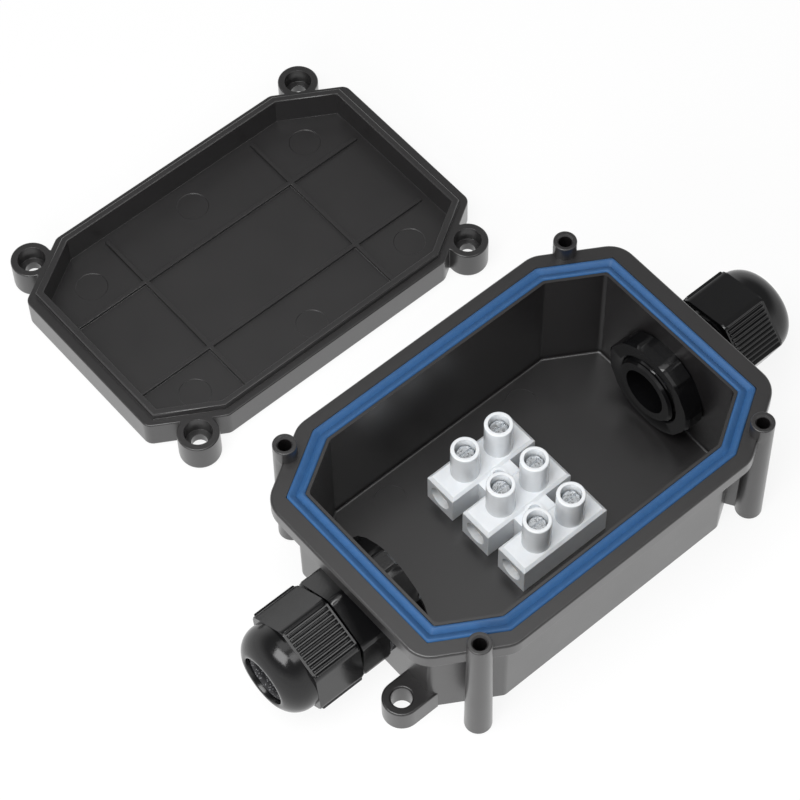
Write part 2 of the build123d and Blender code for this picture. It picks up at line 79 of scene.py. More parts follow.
# Gland stations, measured outwards from the end wall along the gland axis
THREAD_RADIUS = 7.6 * MM
THREAD_PITCH = 1.5 * MM
THREAD_DEPTH = 0.55 * MM
WASHER_THICKNESS = 1.2 * MM
HEX_ACROSS_FLATS = 19.0 * MM
HEX_END = 7.7 * MM
NECK_RADIUS = 8.2 * MM
NECK_END = 12.3 * MM
CLAW_END = 17.7 * MM
CLAW_ROOT_RADIUS = 7.75 * MM
CLAW_TIP_RADIUS = 6.5 * MM
CLAW_COUNT = 8
CLAW_SLOT_WIDTH = 1.0 * MM
CABLE_BORE_RADIUS = 5.2 * MM
SEAT_START = 10.3 * MM
SEAT_RADIUS = 6.06 * MM
LOCK_NUT_ACROSS_FLATS = 21.6 * MM
LOCK_NUT_ACROSS_CORNERS = 23.0 * MM
LOCK_NUT_CHAMFER = 0.5 * MM
LOCK_NUT_BORE_RADIUS = 7.66 * MM
SEAL_RADIUS = 6.0 * MM
SEAL_SHOULDER = 18.2 * MM
SEAL_NOSE = 19.6 * MM
SEAL_NOSE_RADIUS = 4.95 * MM
SEAL_BORE_RADIUS = 4.1 * MM
SEAL_LIP = 0.4 * MM

# Dome nut: stations measured from its rear face
NUT_BORE_RADIUS = 8.28 * MM
NUT_THREAD_LENGTH = 6.9 * MM
NUT_CONE_END = 12.4 * MM
NUT_FRONT = 10.65 * MM
NUT_SHOULDER_RADIUS = 9.45 * MM
NUT_DOME_START = 11.75 * MM
NUT_CHAMFER = 0.4 * MM
NUT_REAR_MARGIN = 0.4 * MM
NUT_FRONT_MARGIN = 0.5 * MM
NUT_MOUTH_RADIUS = 5.3 * MM
NUT_MOUTH_WALL = 0.8 * MM

# Rows in which a grip rib rises from its face, measured from the rib's end
RIB_RISE = np.array([0, 0.06, 0.16, 0.3]) * MM
RIB_ROUNDING = 0.3 * MM

# Columns of points across one rib and across a plain face, and rows along the rib and the dome
RIB_COLUMNS = 8
PLAIN_FACE_COLUMNS = 20
RIB_ROWS = 10
DOME_ROWS = 16
DOME_END_GAP = 0.12 * MM

# Height of the screw turrets on the terminal strip, and how far above their foot the thin wall starts
TURRET_HEIGHT = 8.1 * MM
TURRET_MARGIN = 0.05 * MM

# Side of the box, turn of the gland hexagon, the lock nut, the dome nut and its first ribbed face, in degrees
GLANDS = {
    "left": (-1, 30, 30, 35, 65),
    "right": (1, 0, 0, 50, 20),
}

# Threads as drawn: distance between rows, and the bare length left at each end
THREAD_STEP = 0.25 * MM
THREAD_MARGIN = 0.2 * MM
STUB_LEAD_IN = 0.5 * MM
STUB_THREAD_STEP = 0.15 * MM
STUB_THREAD_LENGTH = 1.6 * MM
STUB_PLAIN_START = 1.9 * MM

# Hexagons: flat across each corner, and bevel round the faces of the gland's hexagon
CORNER_FLAT = 0.2 * MM
HEX_BEVEL = 0.45 * MM

# Columns of points round a gland body or nut, and round a seal
GLAND_COLUMNS = 480
SEAL_COLUMNS = 160

# Edges sharper than these angles, in degrees, stay crisp
SHARP_ANGLE = 32
MOULDED_SHARP_ANGLE = 28
DOME_SHARP_ANGLE = 38
SEAL_SHARP_ANGLE = 40
GASKET_SHARP_ANGLE = 50

# Copies of CAD meshes: merging distance, largest angle between joined facets and smallest that is bevelled
MERGE_DISTANCE = 0.002 * MM
FLAT_ANGLE = math.radians(0.3)
BEVEL_ANGLE = math.radians(40)

# Floor square: how much light its paper returns, half its side, and its height just under the object
PAPER_WHITE = 0.92
FLOOR_HALF = 3.0
FLOOR_HEIGHT = -0.02 * MM

# Lamps: name, place, size, the setting that holds the power, and whether gloss shows it
LAMP_AIM = (0, 30 * MM, 0)
LAMPS = (
    ("high_left", (-235 * MM, -20 * MM, 630 * MM), 410 * MM, "key_power", True),
    ("overhead", (70 * MM, 130 * MM, 560 * MM), 240 * MM, "top_power", True),
    ("low_left", (-425 * MM, -145 * MM, 195 * MM), 250 * MM, "low_power", False),
    ("front_right", (110 * MM, -215 * MM, 560 * MM), 200 * MM, "front_power", True),
)


def linear(hex_colour):
    """An sRGB hex colour as linear red, green and blue."""
    channels = [int(hex_colour[start:start + 2], 16) / 255 for start in (1, 3, 5)]
    return tuple(c / 12.92 if c <= 0.04045 else ((c + 0.055) / 1.055) ** 2.4 for c in channels)


def colour_property(name, description, hex_colour):
    """A colour that a user may change, with its default written as sRGB hex."""
    return FloatVectorProperty(
        name=name, description=description, subtype="COLOR", size=3, min=0, max=1, default=linear(hex_colour)
    )


def length_property(name, description, default):
    """A length that a user may change, in metres."""
    return FloatProperty(
        name=name, description=description, subtype="DISTANCE", unit="LENGTH", default=default, precision=5
    )


def power_property(name, description, default):
    """A lamp's power that a user may change, in watts."""
    return FloatProperty(name=name, description=description, unit="POWER", default=default)


class JunctionBoxColours(bpy.types.PropertyGroup):
    """Colours of the object's materials."""

    housing: colour_property("Housing", "Black of the box and its lid", "#181718")
    gland: colour_property("Glands", "Black of the glands and nuts", "#0c0c0d")
    gasket: colour_property("Gasket", "Blue of the sealing ring", "#28527f")
    rubber: colour_property("Seals", "Black of the cable seals and washers", "#1d1d1f")
    strip: colour_property("Terminal strip", "Milky white of the strip's housing", "#e8ebee")
    tube: colour_property("Terminal tubes", "Nickel plating of the tubes", "#c9c4b8")
    screw: colour_property("Terminal screws", "Zinc plating of the screws", "#c6c9cc")


class JunctionBoxSizes(bpy.types.PropertyGroup):
    """Sizes of the details that only the looks hold."""

    edge_break: length_property("Edge break", "Width of the softened edges of the mouldings", 0.12 * MM)
    screw_edge_break: length_property("Screw edge break", "Width of the softened edges of a screw", 0.06 * MM)
    gasket_lobe: length_property("Gasket lobe radius", "Rounding of the gasket's two lobes", 0.5 * MM)
    gasket_groove: length_property("Gasket groove depth", "Depth of the groove between the lobes", 0.7 * MM)
    rib_height: length_property("Grip rib height", "Height of the ribs on a dome nut", 0.42 * MM)
    rib_width: length_property("Grip rib width", "Width of the ribs on a dome nut", 0.6 * MM)
    rib_count: IntProperty(name="Grip ribs", description="Ribs on each ribbed face", default=11, min=1)
    grain: length_property("Moulded grain", "Width of one grain of the moulded surface", 0.22 * MM)


class JunctionBoxStage(bpy.types.PropertyGroup):
    """Camera, lamps and background."""

    azimuth: FloatProperty(name="Azimuth", description="Camera's turn about Z", default=-41.01)
    elevation: FloatProperty(name="Elevation", description="Camera's angle above the floor", default=57.63)
    distance: length_property("Distance", "Camera's distance from its target", 585.8 * MM)
    lens: FloatProperty(name="Lens", description="Focal length for a 36 mm sensor", default=127.8)
    target: FloatVectorProperty(
        name="Target", description="Point that the camera looks at", subtype="XYZ", unit="LENGTH",
        default=(9.07 * MM, 33.1 * MM, 0),
    )
    shift_x: FloatProperty(name="Shift X", description="Sideways shift of the frame", default=-0.058)
    shift_y: FloatProperty(name="Shift Y", description="Upward shift of the frame", default=-0.0136)
    key_power: power_property("Key power", "Power of the high lamp", 3.3)
    top_power: power_property("Top power", "Power of the lamp overhead", 0.24)
    low_power: power_property("Low power", "Power of the low lamp", 1.7)
    front_power: power_property("Front power", "Power of the front lamp", 0.4)
    ambient: FloatProperty(name="Ambient", description="Strength of the even light", default=0.22)
    shadow_share: FloatProperty(
        name="Shadow share", description="How much of the floor's own shading the camera sees", default=0.12
    )
    ceiling: FloatProperty(
        name="Ceiling", description="Strength of the surround overhead, as gloss shows it", default=0.25
    )


def settings():
    """The three groups of settings: colours, sizes and stage."""
    scene = bpy.context.scene
    return scene.junction_colours, scene.junction_sizes, scene.junction_stage


# Materials


def add_node(tree, kind, links=(), **values):
    """Adds a node; values set its sockets or attributes, links joins (output, input name) pairs."""
    node = tree.nodes.new(kind)
    for key, value in values.items():
        socket = node.inputs.get(key.replace("_", " ").title()) or node.inputs.get(key)
        if hasattr(node, key):
            setattr(node, key, value)
        elif socket is not None:
            socket.default_value = value
        else:
            raise KeyError(f"{kind} has nothing named {key}")
    for output, name in links:
        tree.links.new(output, node.inputs[name])
    return node


def new_material(name):
    """An empty node material, with its tree, its shader and the object's own coordinates."""
    material = bpy.data.materials.new(name)
    material.use_nodes = True
    tree = material.node_tree
    shader = tree.nodes["Principled BSDF"]
    coordinates = tree.nodes.new("ShaderNodeTexCoord").outputs["Object"]
    return material, tree, shader, coordinates


def set_shader(shader, **values):
    """Sets the shader's own sockets; a name's underscores stand for spaces."""
    for key, value in values.items():
        name = key.replace("_", " ")
        shader.inputs[name].default_value = (*value, 1) if name == "Base Color" else value


def mixed_colour(tree, shader, factor, first, second):
    """Lets the base colour go from the first colour to the second, following a factor."""
    mix = add_node(tree, "ShaderNodeMix", [(factor, "Factor")], data_type="RGBA")
    colours = [socket for socket in mix.inputs if socket.type == "RGBA"]
    colours[0].default_value = (*first, 1)
    colours[1].default_value = (*second, 1)
    result = next(socket for socket in mix.outputs if socket.type == "RGBA")
    tree.links.new(result, shader.inputs["Base Color"])


def tinted(tree, shader, colour, factor, spread, warm=0.0):
    """Lets the base colour wander about its value by a share of it, following a factor."""
    dark = tuple(c * (1 - spread) for c in colour)
    light = (colour[0] * (1 + spread + warm), colour[1] * (1 + spread), colour[2] * (1 + spread - warm))
    mixed_colour(tree, shader, factor, dark, tuple(min(c, 1) for c in light))


def wandering_roughness(tree, shader, factor, start, end):
    """Lets the roughness go from start to end, following a factor."""
    span = add_node(tree, "ShaderNodeMapRange", [(factor, "Value")], To_Min=start, To_Max=end)
    tree.links.new(span.outputs["Result"], shader.inputs["Roughness"])


def noise(tree, coordinates, size, detail=2.0, roughness=0.5):
    """Cloudy noise whose largest blotches are about size metres across."""
    return add_node(
        tree, "ShaderNodeTexNoise", [(coordinates, "Vector")],
        Scale=1 / size, Detail=detail, Roughness=roughness,
    ).outputs["Fac"]


def bump(tree, shader, height, depth, strength=1.0):
    """Turns a height from 0 to 1 into relief of the given depth in metres."""
    node = add_node(tree, "ShaderNodeBump", [(height, "Height")], Distance=depth, Strength=strength)
    tree.links.new(node.outputs["Normal"], shader.inputs["Normal"])


def spark_eroded_abs(colour, grain):
    """ABS moulded in a spark-eroded tool: a fine even grain that breaks highlights into a satin sheen."""
    material, tree, shader, coordinates = new_material("spark_eroded_black_abs")
    set_shader(shader, IOR=1.53, Coat_Weight=0.7, Coat_Roughness=0.28)
    handled = noise(tree, coordinates, 9 * MM, detail=3)
    tinted(tree, shader, colour, handled, spread=0.12, warm=0.04)
    wandering_roughness(tree, shader, handled, start=0.34, end=0.44)
    bump(tree, shader, noise(tree, coordinates, grain, detail=3, roughness=0.6), depth=0.012 * MM)
    return material


def glossy_polyamide(colour):
    """Black polyamide moulded in a polished tool: clear highlights with a faint orange peel."""
    material, tree, shader, coordinates = new_material("polished_black_polyamide")
    set_shader(shader, IOR=1.5)
    flow = noise(tree, coordinates, 3 * MM)
    tinted(tree, shader, colour, flow, spread=0.1)
    wandering_roughness(tree, shader, flow, start=0.14, end=0.22)
    bump(tree, shader, noise(tree, coordinates, 0.5 * MM), depth=0.008 * MM)
    return material


def blue_silicone(colour):
    """Pressed blue silicone: soft, a little dusty, with a milky sheen at grazing angles."""
    material, tree, shader, coordinates = new_material("pressed_blue_silicone")
    set_shader(shader, IOR=1.41, Sheen_Weight=0.05, Sheen_Roughness=0.45, Subsurface_Weight=0.12)
    shader.inputs["Subsurface Radius"].default_value = (0.3, 0.5, 1.0)
    shader.inputs["Subsurface Scale"].default_value = 0.4 * MM
    mottle = noise(tree, coordinates, 1.6 * MM, detail=4, roughness=0.6)
    tinted(tree, shader, colour, mottle, spread=0.16)
    wandering_roughness(tree, shader, mottle, start=0.42, end=0.6)
    bump(tree, shader, noise(tree, coordinates, 0.3 * MM), depth=0.015 * MM)
    return material


def speckled_rubber(colour):
    """Moulded EPDM rubber with light grey specks painted into its colour as glints in a gland's mouth; the
    specks are also less rough, so they catch real lamp light too.
    """
    material, tree, shader, coordinates = new_material("speckled_epdm_rubber")
    set_shader(shader, IOR=1.5)
    cells = add_node(tree, "ShaderNodeTexVoronoi", [(coordinates, "Vector")], Scale=1 / (0.45 * MM))
    painted_glint_specks = add_node(
        tree, "ShaderNodeMapRange", [(cells.outputs["Distance"], "Value")],
        From_Min=0.1, From_Max=0.34, To_Min=1.0, To_Max=0.0,
    ).outputs["Result"]
    # Painted glints: light grey specks mixed into the black base colour, with lower roughness where they lie
    mixed_colour(tree, shader, painted_glint_specks, colour, linear("#7d7d80"))
    wandering_roughness(tree, shader, painted_glint_specks, start=0.62, end=0.35)
    bump(tree, shader, cells.outputs["Distance"], depth=0.05 * MM, strength=0.8)
    return material


def milky_polyethylene(name, colour, spread, depth, clear):
    """Natural polyethylene: waxy and translucent. A share of the light spreads inside it to the given
    depth, and a thin wall lets a clear share of it straight through."""
    material, tree, shader, coordinates = new_material(name)
    set_shader(shader, IOR=1.51, Subsurface_Weight=spread, Subsurface_Scale=depth, Transmission_Weight=clear)
    shader.inputs["Subsurface Radius"].default_value = (0.9, 1.0, 1.1)
    cloud = noise(tree, coordinates, 2.5 * MM, detail=3)
    tinted(tree, shader, colour, cloud, spread=0.05)
    wandering_roughness(tree, shader, cloud, start=0.16, end=0.28)
    bump(tree, shader, noise(tree, coordinates, 0.8 * MM), depth=0.02 * MM)
    return material


def nickel_plated_brass(colour):
    """Drawn brass tube, nickel plated: a warm grey metal with fine lines along its length."""
    material, tree, shader, coordinates = new_material("nickel_plated_brass")
    set_shader(shader, Metallic=1.0)
    stretch = add_node(tree, "ShaderNodeMapping", [(coordinates, "Vector")], Scale=(0.05, 1, 1))
    lines = noise(tree, stretch.outputs["Vector"], 0.25 * MM)
    tinted(tree, shader, colour, lines, spread=0.08)
    wandering_roughness(tree, shader, lines, start=0.22, end=0.4)
    bump(tree, shader, lines, depth=0.01 * MM)
    return material


def zinc_plated_steel(colour):
    """Turned steel screw, zinc plated: small crystals, some bright and some dull, make it sparkle."""
    material, tree, shader, coordinates = new_material("zinc_plated_steel")
    set_shader(shader, Metallic=1.0)
    cells = add_node(tree, "ShaderNodeTexVoronoi", [(coordinates, "Vector")], Scale=1 / (0.35 * MM))
    sparkle = add_node(tree, "ShaderNodeSeparateColor", [(cells.outputs["Color"], "Color")]).outputs["Red"]
    tinted(tree, shader, colour, sparkle, spread=0.16)
    wandering_roughness(tree, shader, sparkle, start=0.2, end=0.42)
    bump(tree, shader, noise(tree, coordinates, 0.4 * MM, detail=3), depth=0.006 * MM)
    return material


# Meshes


def add_object(name, mesh, material, body, slot, *nodes):
    """Links a finished mesh as a piece: material, body that carries it, slot (not used) and the nodes it
    replaces.
    """
    piece = bpy.data.objects.new(name, mesh)
    bpy.context.scene.collection.objects.link(piece)
    mesh.materials.clear()
    mesh.materials.append(material)
    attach(piece, body)
    if nodes:
        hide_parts(*nodes)
    return piece


def ring_mesh(name, points, sharp_angle=SHARP_ANGLE):
    """Mesh of a closed ring: points is (rows, columns, 3), and both directions run round to their start.
    Each quad joins four neighbours. The signed volume tells which way round gives outward faces."""
    rows, columns = points.shape[:2]
    row, column = np.meshgrid(np.arange(rows), np.arange(columns), indexing="ij")
    next_row, next_column = (row + 1) % rows, (column + 1) % columns
    quads = np.stack(
        [row * columns + column, next_row * columns + column,
         next_row * columns + next_column, row * columns + next_column], axis=-1,
    ).reshape(-1, 4)
    flat = points.reshape(-1, 3)
    a, b, c, d = (flat[quads[:, index]] for index in range(4))
    volume = (np.einsum("ij,ij->i", a, np.cross(b, c)) + np.einsum("ij,ij->i", a, np.cross(c, d))).sum()
    if volume < 0:
        quads = quads[:, ::-1]
    mesh = bpy.data.meshes.new(name)
    mesh.from_pydata(flat.tolist(), [], quads.tolist())
    smooth(mesh, sharp_angle)
    return mesh


def smooth(mesh, sharp_angle):
    """Smooth shading, with edges sharper than the angle kept crisp."""
    mesh.polygons.foreach_set("use_smooth", np.ones(len(mesh.polygons), bool))
    mesh.set_sharp_from_angle(angle=math.radians(sharp_angle))
    mesh.update()


def moulded_copy(node, name, material, body, slot, edge_break):
    """A merged copy of a CAD node: its flat facets are joined again, its edges are broken by a fine bevel."""
    mesh = frame["nodes"][node].data.copy()
    mesh.name = name
    work = bmesh.new()
    work.from_mesh(mesh)
    bmesh.ops.remove_doubles(work, verts=work.verts, dist=MERGE_DISTANCE)
    bmesh.ops.dissolve_limit(work, angle_limit=FLAT_ANGLE, verts=work.verts, edges=work.edges)
    work.to_mesh(mesh)
    work.free()
    smooth(mesh, MOULDED_SHARP_ANGLE)
    piece = add_object(name, mesh, material, body, slot, node)
    bevel = piece.modifiers.new("edge_break", "BEVEL")
    bevel.width = edge_break
    bevel.segments = 2
    bevel.limit_method = "ANGLE"
    bevel.angle_limit = BEVEL_ANGLE
    flats = piece.modifiers.new("flat_faces", "WEIGHTED_NORMAL")
    flats.mode = "FACE_AREA"
    flats.weight = 100
    flats.keep_sharp = True
    return piece


def body_of(node):
    """Name of the CAD body that carries a node."""
    bodies = frame["record"]["behaviour"]["bodies"]
    return next(body for body, members in bodies.items() if node in members)


# Gasket


def outline_points(reach):
    """The eight corners of the cavity's outline moved outwards by reach, anticlockwise.
    Each side's line is shifted along its normal, and neighbouring lines are cut with each other."""
    cut = math.hypot(CORNER_CUT_X, CORNER_CUT_Y)
    normal = np.array([CORNER_CUT_Y, CORNER_CUT_X]) / cut
    cut_reach = normal @ [CAVITY_LENGTH / 2 - CORNER_CUT_X, CAVITY_WIDTH / 2] + reach
    half_x, half_y = CAVITY_LENGTH / 2 + reach, CAVITY_WIDTH / 2 + reach
    cut_y = (cut_reach - normal[0] * half_x) / normal[1]
    cut_x = (cut_reach - normal[1] * half_y) / normal[0]
    return np.array([
        (half_x, -cut_y), (half_x, cut_y), (cut_x, half_y), (-cut_x, half_y),
        (-half_x, cut_y), (-half_x, -cut_y), (-cut_x, -half_y), (cut_x, -half_y),
    ])


def rounded_outline(reach, side_steps=24, corner_steps=6):
    """The outline at a reach, with each corner rounded: a corner is the parabola that leaves one side
    GASKET_CORNER before the corner and meets the next side as far behind it."""
    corners = outline_points(reach)
    towards_next = np.roll(corners, -1, axis=0) - corners
    towards_next /= np.linalg.norm(towards_next, axis=1)[:, None]
    leave = corners - GASKET_CORNER * np.roll(towards_next, 1, axis=0)
    meet = corners + GASKET_CORNER * towards_next
    t = np.linspace(0, 1, corner_steps)[None, :, None]
    bends = (1 - t) ** 2 * leave[:, None] + 2 * t * (1 - t) * corners[:, None] + t ** 2 * meet[:, None]
    t = np.linspace(0, 1, side_steps + 1)[None, 1:-1, None]
    sides = (1 - t) * meet[:, None] + t * np.roll(leave, -1, axis=0)[:, None]
    return np.concatenate([bends, sides], axis=1).reshape(-1, 2)


def gasket_section(base, top, lobe, groove):
    """Half-width coordinate and height of the gasket's section: upright sides, two round lobes and a groove.
    From the foot the section climbs the outside, crosses both lobes as quarter circles joined by a
    V-shaped dip as deep as the groove, and comes down the inside."""
    quarter = np.linspace(0, math.pi / 2, GASKET_LOBE_STEPS)
    outer_x = GASKET_WIDTH / 2 - lobe * (1 - np.cos(quarter))
    outer_z = top - lobe * (1 - np.sin(quarter))
    dip = np.linspace(0, 1, GASKET_DIP_STEPS)[1:-1]
    middle_x = (GASKET_WIDTH / 2 - lobe) * (1 - 2 * dip)
    middle_z = top - groove * (1 - np.abs(2 * dip - 1)) ** GASKET_DIP_POWER
    across = np.concatenate([[GASKET_WIDTH / 2], outer_x, middle_x, -outer_x[::-1], [-GASKET_WIDTH / 2]])
    height = np.concatenate([[base], outer_z, middle_z, outer_z[::-1], [base]])
    return across, height


class JUNCTION_OT_gasket(bpy.types.Operator):
    """Adds the blue gasket, its section carried round the eight-sided outline"""

    bl_idname = "junction.gasket"
    bl_label = "Gasket"

    def execute(self, context):
        colours, sizes, _ = settings()
        low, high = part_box("gasket")
        across, height = gasket_section(low.z, high.z, sizes.gasket_lobe, sizes.gasket_groove)
        reach = GASKET_INNER + GASKET_WIDTH / 2 + across
        rings = [rounded_outline(value) for value in reach]
        points = np.stack([np.column_stack([ring, np.full(len(ring), z)]) for ring, z in zip(rings, height)])
        mesh = ring_mesh("gasket_ring", points, GASKET_SHARP_ANGLE)
        add_object(mesh.name, mesh, blue_silicone(colours.gasket), "box", "gasket_rubber", "gasket")
        return {"FINISHED"}


# Housing


class JUNCTION_OT_housing(bpy.types.Operator):
    """Adds the box moulding and its lid"""

    bl_idname = "junction.housing"
    bl_label = "Housing and lid"

    def execute(self, context):
        colours, sizes, _ = settings()
        plastic = spark_eroded_abs(colours.housing, sizes.grain)
        moulded_copy("box_body", "moulded_box", plastic, "box", "housing_plastic", sizes.edge_break)
        moulded_copy("lid", "moulded_lid", plastic, "box", "housing_plastic", sizes.edge_break)
        return {"FINISHED"}


# Glands


def gland_place(name):
    """Side, wall position and height of a gland, read from the washer that lies on the wall."""
    side = GLANDS[name][0]
    low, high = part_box(f"gland_washer_{name}")
    wall_x = high.x if side < 0 else low.x
    return side, wall_x, (low.z + high.z) / 2


def stations(place, node):
    """Where a node starts and ends along its gland's axis, measured outwards from the wall."""
    side, wall_x, _ = place
    return sorted(side * (corner.x - wall_x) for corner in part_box(node))


def round_angles(count):
    """Evenly spaced angles round a gland axis, in radians."""
    return np.arange(count) * 2 * math.pi / count


def hex_radius(angles, turn, across_flats, corner_flat=CORNER_FLAT):
    """Distance from the axis to a hexagon: half its width over the cosine of the angle from the face's
    middle, cut off a little at the corners."""
    from_corner = (angles - math.radians(turn)) % math.radians(60)
    radius = across_flats / 2 / np.cos(from_corner - math.radians(30))
    corner = across_flats / 2 / math.cos(math.radians(30))
    return np.minimum(radius, corner - corner_flat)


def thread_cut(station, angles):
    """Depth cut by a thread: a triangular wave along the axis that moves on one pitch in each turn."""
    phase = (station / THREAD_PITCH - angles / (2 * math.pi)) % 1
    return THREAD_DEPTH * np.abs(2 * phase - 1)


def ring_of_rows(name, place, angles, rows, sharp_angle=SHARP_ANGLE):
    """Mesh from rows of (station, radius): a point lies at the station along the axis and at the radius
    from it, turned by the angle from the box's width towards the top."""
    side, wall_x, height = place
    along = np.array([station for station, _ in rows])
    radii = np.array([np.broadcast_to(radius, angles.shape) for _, radius in rows])
    x = np.broadcast_to((wall_x + side * along)[:, None], radii.shape)
    y = side * radii * np.cos(angles)
    z = height + radii * np.sin(angles)
    return ring_mesh(name, np.stack([x, y, z], axis=-1), sharp_angle)


def gland_body_rows(angles, thread_end, hex_turn):
    """Thread stub, hexagon, threaded neck, slotted claws and the bore, as rows of station and radius."""
    hexagon = hex_radius(angles, hex_turn, HEX_ACROSS_FLATS)
    corner = HEX_ACROSS_FLATS / 2 / math.cos(math.radians(30))
    faced = np.minimum(hexagon, corner - HEX_BEVEL)
    slot_middle = np.round(angles / (2 * math.pi / CLAW_COUNT)) * 2 * math.pi / CLAW_COUNT
    in_slot = np.abs(angles - slot_middle) * SEAT_RADIUS < CLAW_SLOT_WIDTH / 2
    slot_floor = SEAT_RADIUS + 0.02 * MM
    rows = [(thread_end, CABLE_BORE_RADIUS), (thread_end, THREAD_RADIUS - THREAD_DEPTH - 0.05 * MM)]
    for station in np.arange(thread_end + STUB_LEAD_IN, thread_end + STUB_THREAD_LENGTH, STUB_THREAD_STEP):
        rows.append((station, THREAD_RADIUS - thread_cut(station, angles)))
    rows += [
        (thread_end + STUB_PLAIN_START, THREAD_RADIUS), (WASHER_THICKNESS, THREAD_RADIUS),
        (WASHER_THICKNESS, faced), (WASHER_THICKNESS + HEX_BEVEL, hexagon),
        (HEX_END - HEX_BEVEL, hexagon), (HEX_END, faced), (HEX_END, NECK_RADIUS - THREAD_DEPTH),
    ]
    for station in np.arange(HEX_END + 0.3 * MM, NECK_END - THREAD_MARGIN, THREAD_STEP):
        rows.append((station, NECK_RADIUS - thread_cut(station, angles)))
    rows += [
        (NECK_END, CLAW_ROOT_RADIUS),
        (NECK_END, np.where(in_slot, slot_floor, CLAW_ROOT_RADIUS)),
        (CLAW_END, np.where(in_slot, slot_floor, CLAW_TIP_RADIUS)),
        (CLAW_END, SEAT_RADIUS), (SEAT_START, SEAT_RADIUS), (SEAT_START, CABLE_BORE_RADIUS),
    ]
    return rows


def lock_nut_rows(angles, free_face, wall_face, turn):
    """Hexagon with its corners cut flat and both its faces chamfered, and a threaded bore."""
    flats = hex_radius(angles, turn, LOCK_NUT_ACROSS_FLATS, 0)
    outer = np.minimum(flats, hex_radius(angles, turn + 30, LOCK_NUT_ACROSS_CORNERS, 0))
    faced = np.minimum(outer, LOCK_NUT_ACROSS_CORNERS / 2 - LOCK_NUT_CHAMFER)
    rows = [
        (wall_face, LOCK_NUT_BORE_RADIUS), (wall_face, faced), (wall_face - LOCK_NUT_CHAMFER, outer),
        (free_face + LOCK_NUT_CHAMFER, outer), (free_face, faced),
        (free_face, LOCK_NUT_BORE_RADIUS + THREAD_DEPTH),
    ]
    for station in np.arange(free_face + THREAD_MARGIN, wall_face - THREAD_MARGIN, THREAD_STEP):
        rows.append((station, LOCK_NUT_BORE_RADIUS + thread_cut(station, angles)))
    return rows


def seal_rows(end):
    """Sleeve, cone-shaped shoulder and nose of the rubber seal, with its rounded lip and its bore."""
    return [
        (SEAT_START, SEAL_BORE_RADIUS), (SEAT_START, SEAL_RADIUS), (SEAL_SHOULDER, SEAL_RADIUS),
        (SEAL_NOSE, SEAL_NOSE_RADIUS), (end - SEAL_LIP / 2, SEAL_NOSE_RADIUS),
        (end - 0.06 * MM, SEAL_NOSE_RADIUS - 0.08 * MM), (end, SEAL_NOSE_RADIUS - 0.25 * MM),
        (end - 0.08 * MM, SEAL_BORE_RADIUS + SEAL_LIP), (end - SEAL_LIP, SEAL_BORE_RADIUS + 0.06 * MM),
        (end - 2 * SEAL_LIP, SEAL_BORE_RADIUS),
    ]


class JUNCTION_OT_glands(bpy.types.Operator):
    """Adds the gland bodies, washers, lock nuts and rubber seals"""

    bl_idname = "junction.glands"
    bl_label = "Cable glands"

    def execute(self, context):
        colours, sizes, _ = settings()
        plastic = glossy_polyamide(colours.gland)
        rubber = speckled_rubber(colours.rubber)
        angles = round_angles(GLAND_COLUMNS)
        for name, (_, hex_turn, lock_turn, _, _) in GLANDS.items():
            place = gland_place(name)
            rows = gland_body_rows(angles, stations(place, f"gland_body_{name}")[0], hex_turn)
            mesh = ring_of_rows(f"threaded_body_{name}", place, angles, rows)
            add_object(mesh.name, mesh, plastic, "box", "gland_plastic", f"gland_body_{name}")
            rows = lock_nut_rows(angles, *stations(place, f"lock_nut_{name}"), lock_turn)
            mesh = ring_of_rows(f"inner_nut_{name}", place, angles, rows)
            add_object(mesh.name, mesh, plastic, "box", "gland_plastic", f"lock_nut_{name}")
            rows = seal_rows(stations(place, f"gland_seal_{name}")[1])
            seal_angles = round_angles(SEAL_COLUMNS)
            mesh = ring_of_rows(f"cable_seal_{name}", place, seal_angles, rows, SEAL_SHARP_ANGLE)
            add_object(mesh.name, mesh, rubber, "box", "seal_rubber", f"gland_seal_{name}")
            washer = f"gland_washer_{name}"
            moulded_copy(washer, f"flat_washer_{name}", rubber, "box", "seal_rubber", sizes.edge_break)
        return {"FINISHED"}


def ribbed_angles(turn, rib_turn, rib_count):
    """Angles round a dome nut: a ribbed face gets more columns than a plain one, evenly spaced across it."""
    half_width = math.tan(math.radians(30))
    parts = []
    for face in range(6):
        middle = math.radians(turn + 30 + 60 * face)
        ribbed = round((math.degrees(middle) - rib_turn) / 60) % 2 == 0
        count = RIB_COLUMNS * rib_count if ribbed else PLAIN_FACE_COLUMNS
        across = np.linspace(-half_width, half_width, count, endpoint=False)
        parts.append(middle + np.arctan(across))
    return np.concatenate(parts)


def rib_relief(angles, turn, rib_turn, sizes):
    """Height of the grip ribs at each angle: half-round ribs, evenly spaced across every second face."""
    apothem = HEX_ACROSS_FLATS / 2
    pitch = 2 * apothem * math.tan(math.radians(30)) / sizes.rib_count
    from_middle = (angles - math.radians(turn)) % math.radians(60) - math.radians(30)
    face = np.round((np.degrees(angles - from_middle) - rib_turn) / 60).astype(int)
    along_face = apothem * np.tan(from_middle)
    nearest = (np.round(along_face / pitch + sizes.rib_count / 2 - 0.5) - sizes.rib_count / 2 + 0.5) * pitch
    offset = (along_face - nearest) / (sizes.rib_width / 2)
    relief = sizes.rib_height * np.sqrt(np.clip(1 - offset ** 2, 0, 1))
    return np.where(face % 2 == 0, relief, 0)


